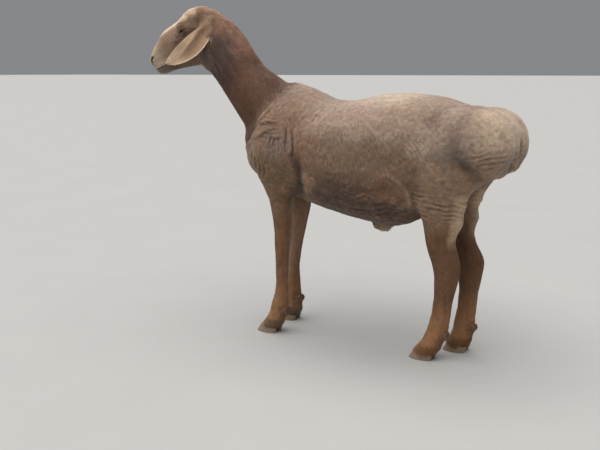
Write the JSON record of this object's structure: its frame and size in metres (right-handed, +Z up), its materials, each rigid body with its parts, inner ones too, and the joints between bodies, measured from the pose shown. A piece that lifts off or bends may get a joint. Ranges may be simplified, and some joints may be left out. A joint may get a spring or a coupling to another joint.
{
  "type": "standing sheep model",
  "caption": "Life-size still model of a shorn, fat-rumped sheep standing on its claws with its head turned a little to its left and long hanging ears.",
  "frame": {"origin": "on the floor, under the middle of the box that holds the whole animal", "axes": "the sheep faces -X, its left side is -Y, and +Z is up"},
  "size_m": [1.3376, 0.3362, 1.1114],
  "materials": {
    "shorn_fleece": "clipped wool, pale beige brown, matt",
    "body_hair": "unshorn reddish brown hair, matt",
    "face_hair": "short pale tan hair",
    "leg_hair": "short reddish brown hair",
    "ear": "skin with thin pale hair",
    "eye": "wet, glossy dark brown",
    "claw_horn": "worn grey-brown horn, satin",
    "dewclaw_horn": "rough dark horn"
  },
  "bodies": {
    "root": {"trunk": "shorn_fleece", "fat_tail": "shorn_fleece", "neck": "body_hair", "head": "face_hair", "left_ear": "ear", "left_eye": "eye", "left_fore_upper_leg": "leg_hair", "left_fore_lower_leg": "leg_hair", "left_fore_inner_claw": "claw_horn", "left_fore_inner_dewclaw": "dewclaw_horn", "left_fore_outer_claw": "claw_horn", "left_fore_outer_dewclaw": "dewclaw_horn", "left_hind_upper_leg": "leg_hair", "left_hind_lower_leg": "leg_hair", "left_hind_inner_claw": "claw_horn", "left_hind_inner_dewclaw": "dewclaw_horn", "left_hind_outer_claw": "claw_horn", "left_hind_outer_dewclaw": "dewclaw_horn", "right_ear": "ear", "right_eye": "eye", "right_fore_upper_leg": "leg_hair", "right_fore_lower_leg": "leg_hair", "right_fore_inner_claw": "claw_horn", "right_fore_inner_dewclaw": "dewclaw_horn", "right_fore_outer_claw": "claw_horn", "right_fore_outer_dewclaw": "dewclaw_horn", "right_hind_upper_leg": "leg_hair", "right_hind_lower_leg": "leg_hair", "right_hind_inner_claw": "claw_horn", "right_hind_inner_dewclaw": "dewclaw_horn", "right_hind_outer_claw": "claw_horn", "right_hind_outer_dewclaw": "dewclaw_horn"}
  },
  "joints": []
}
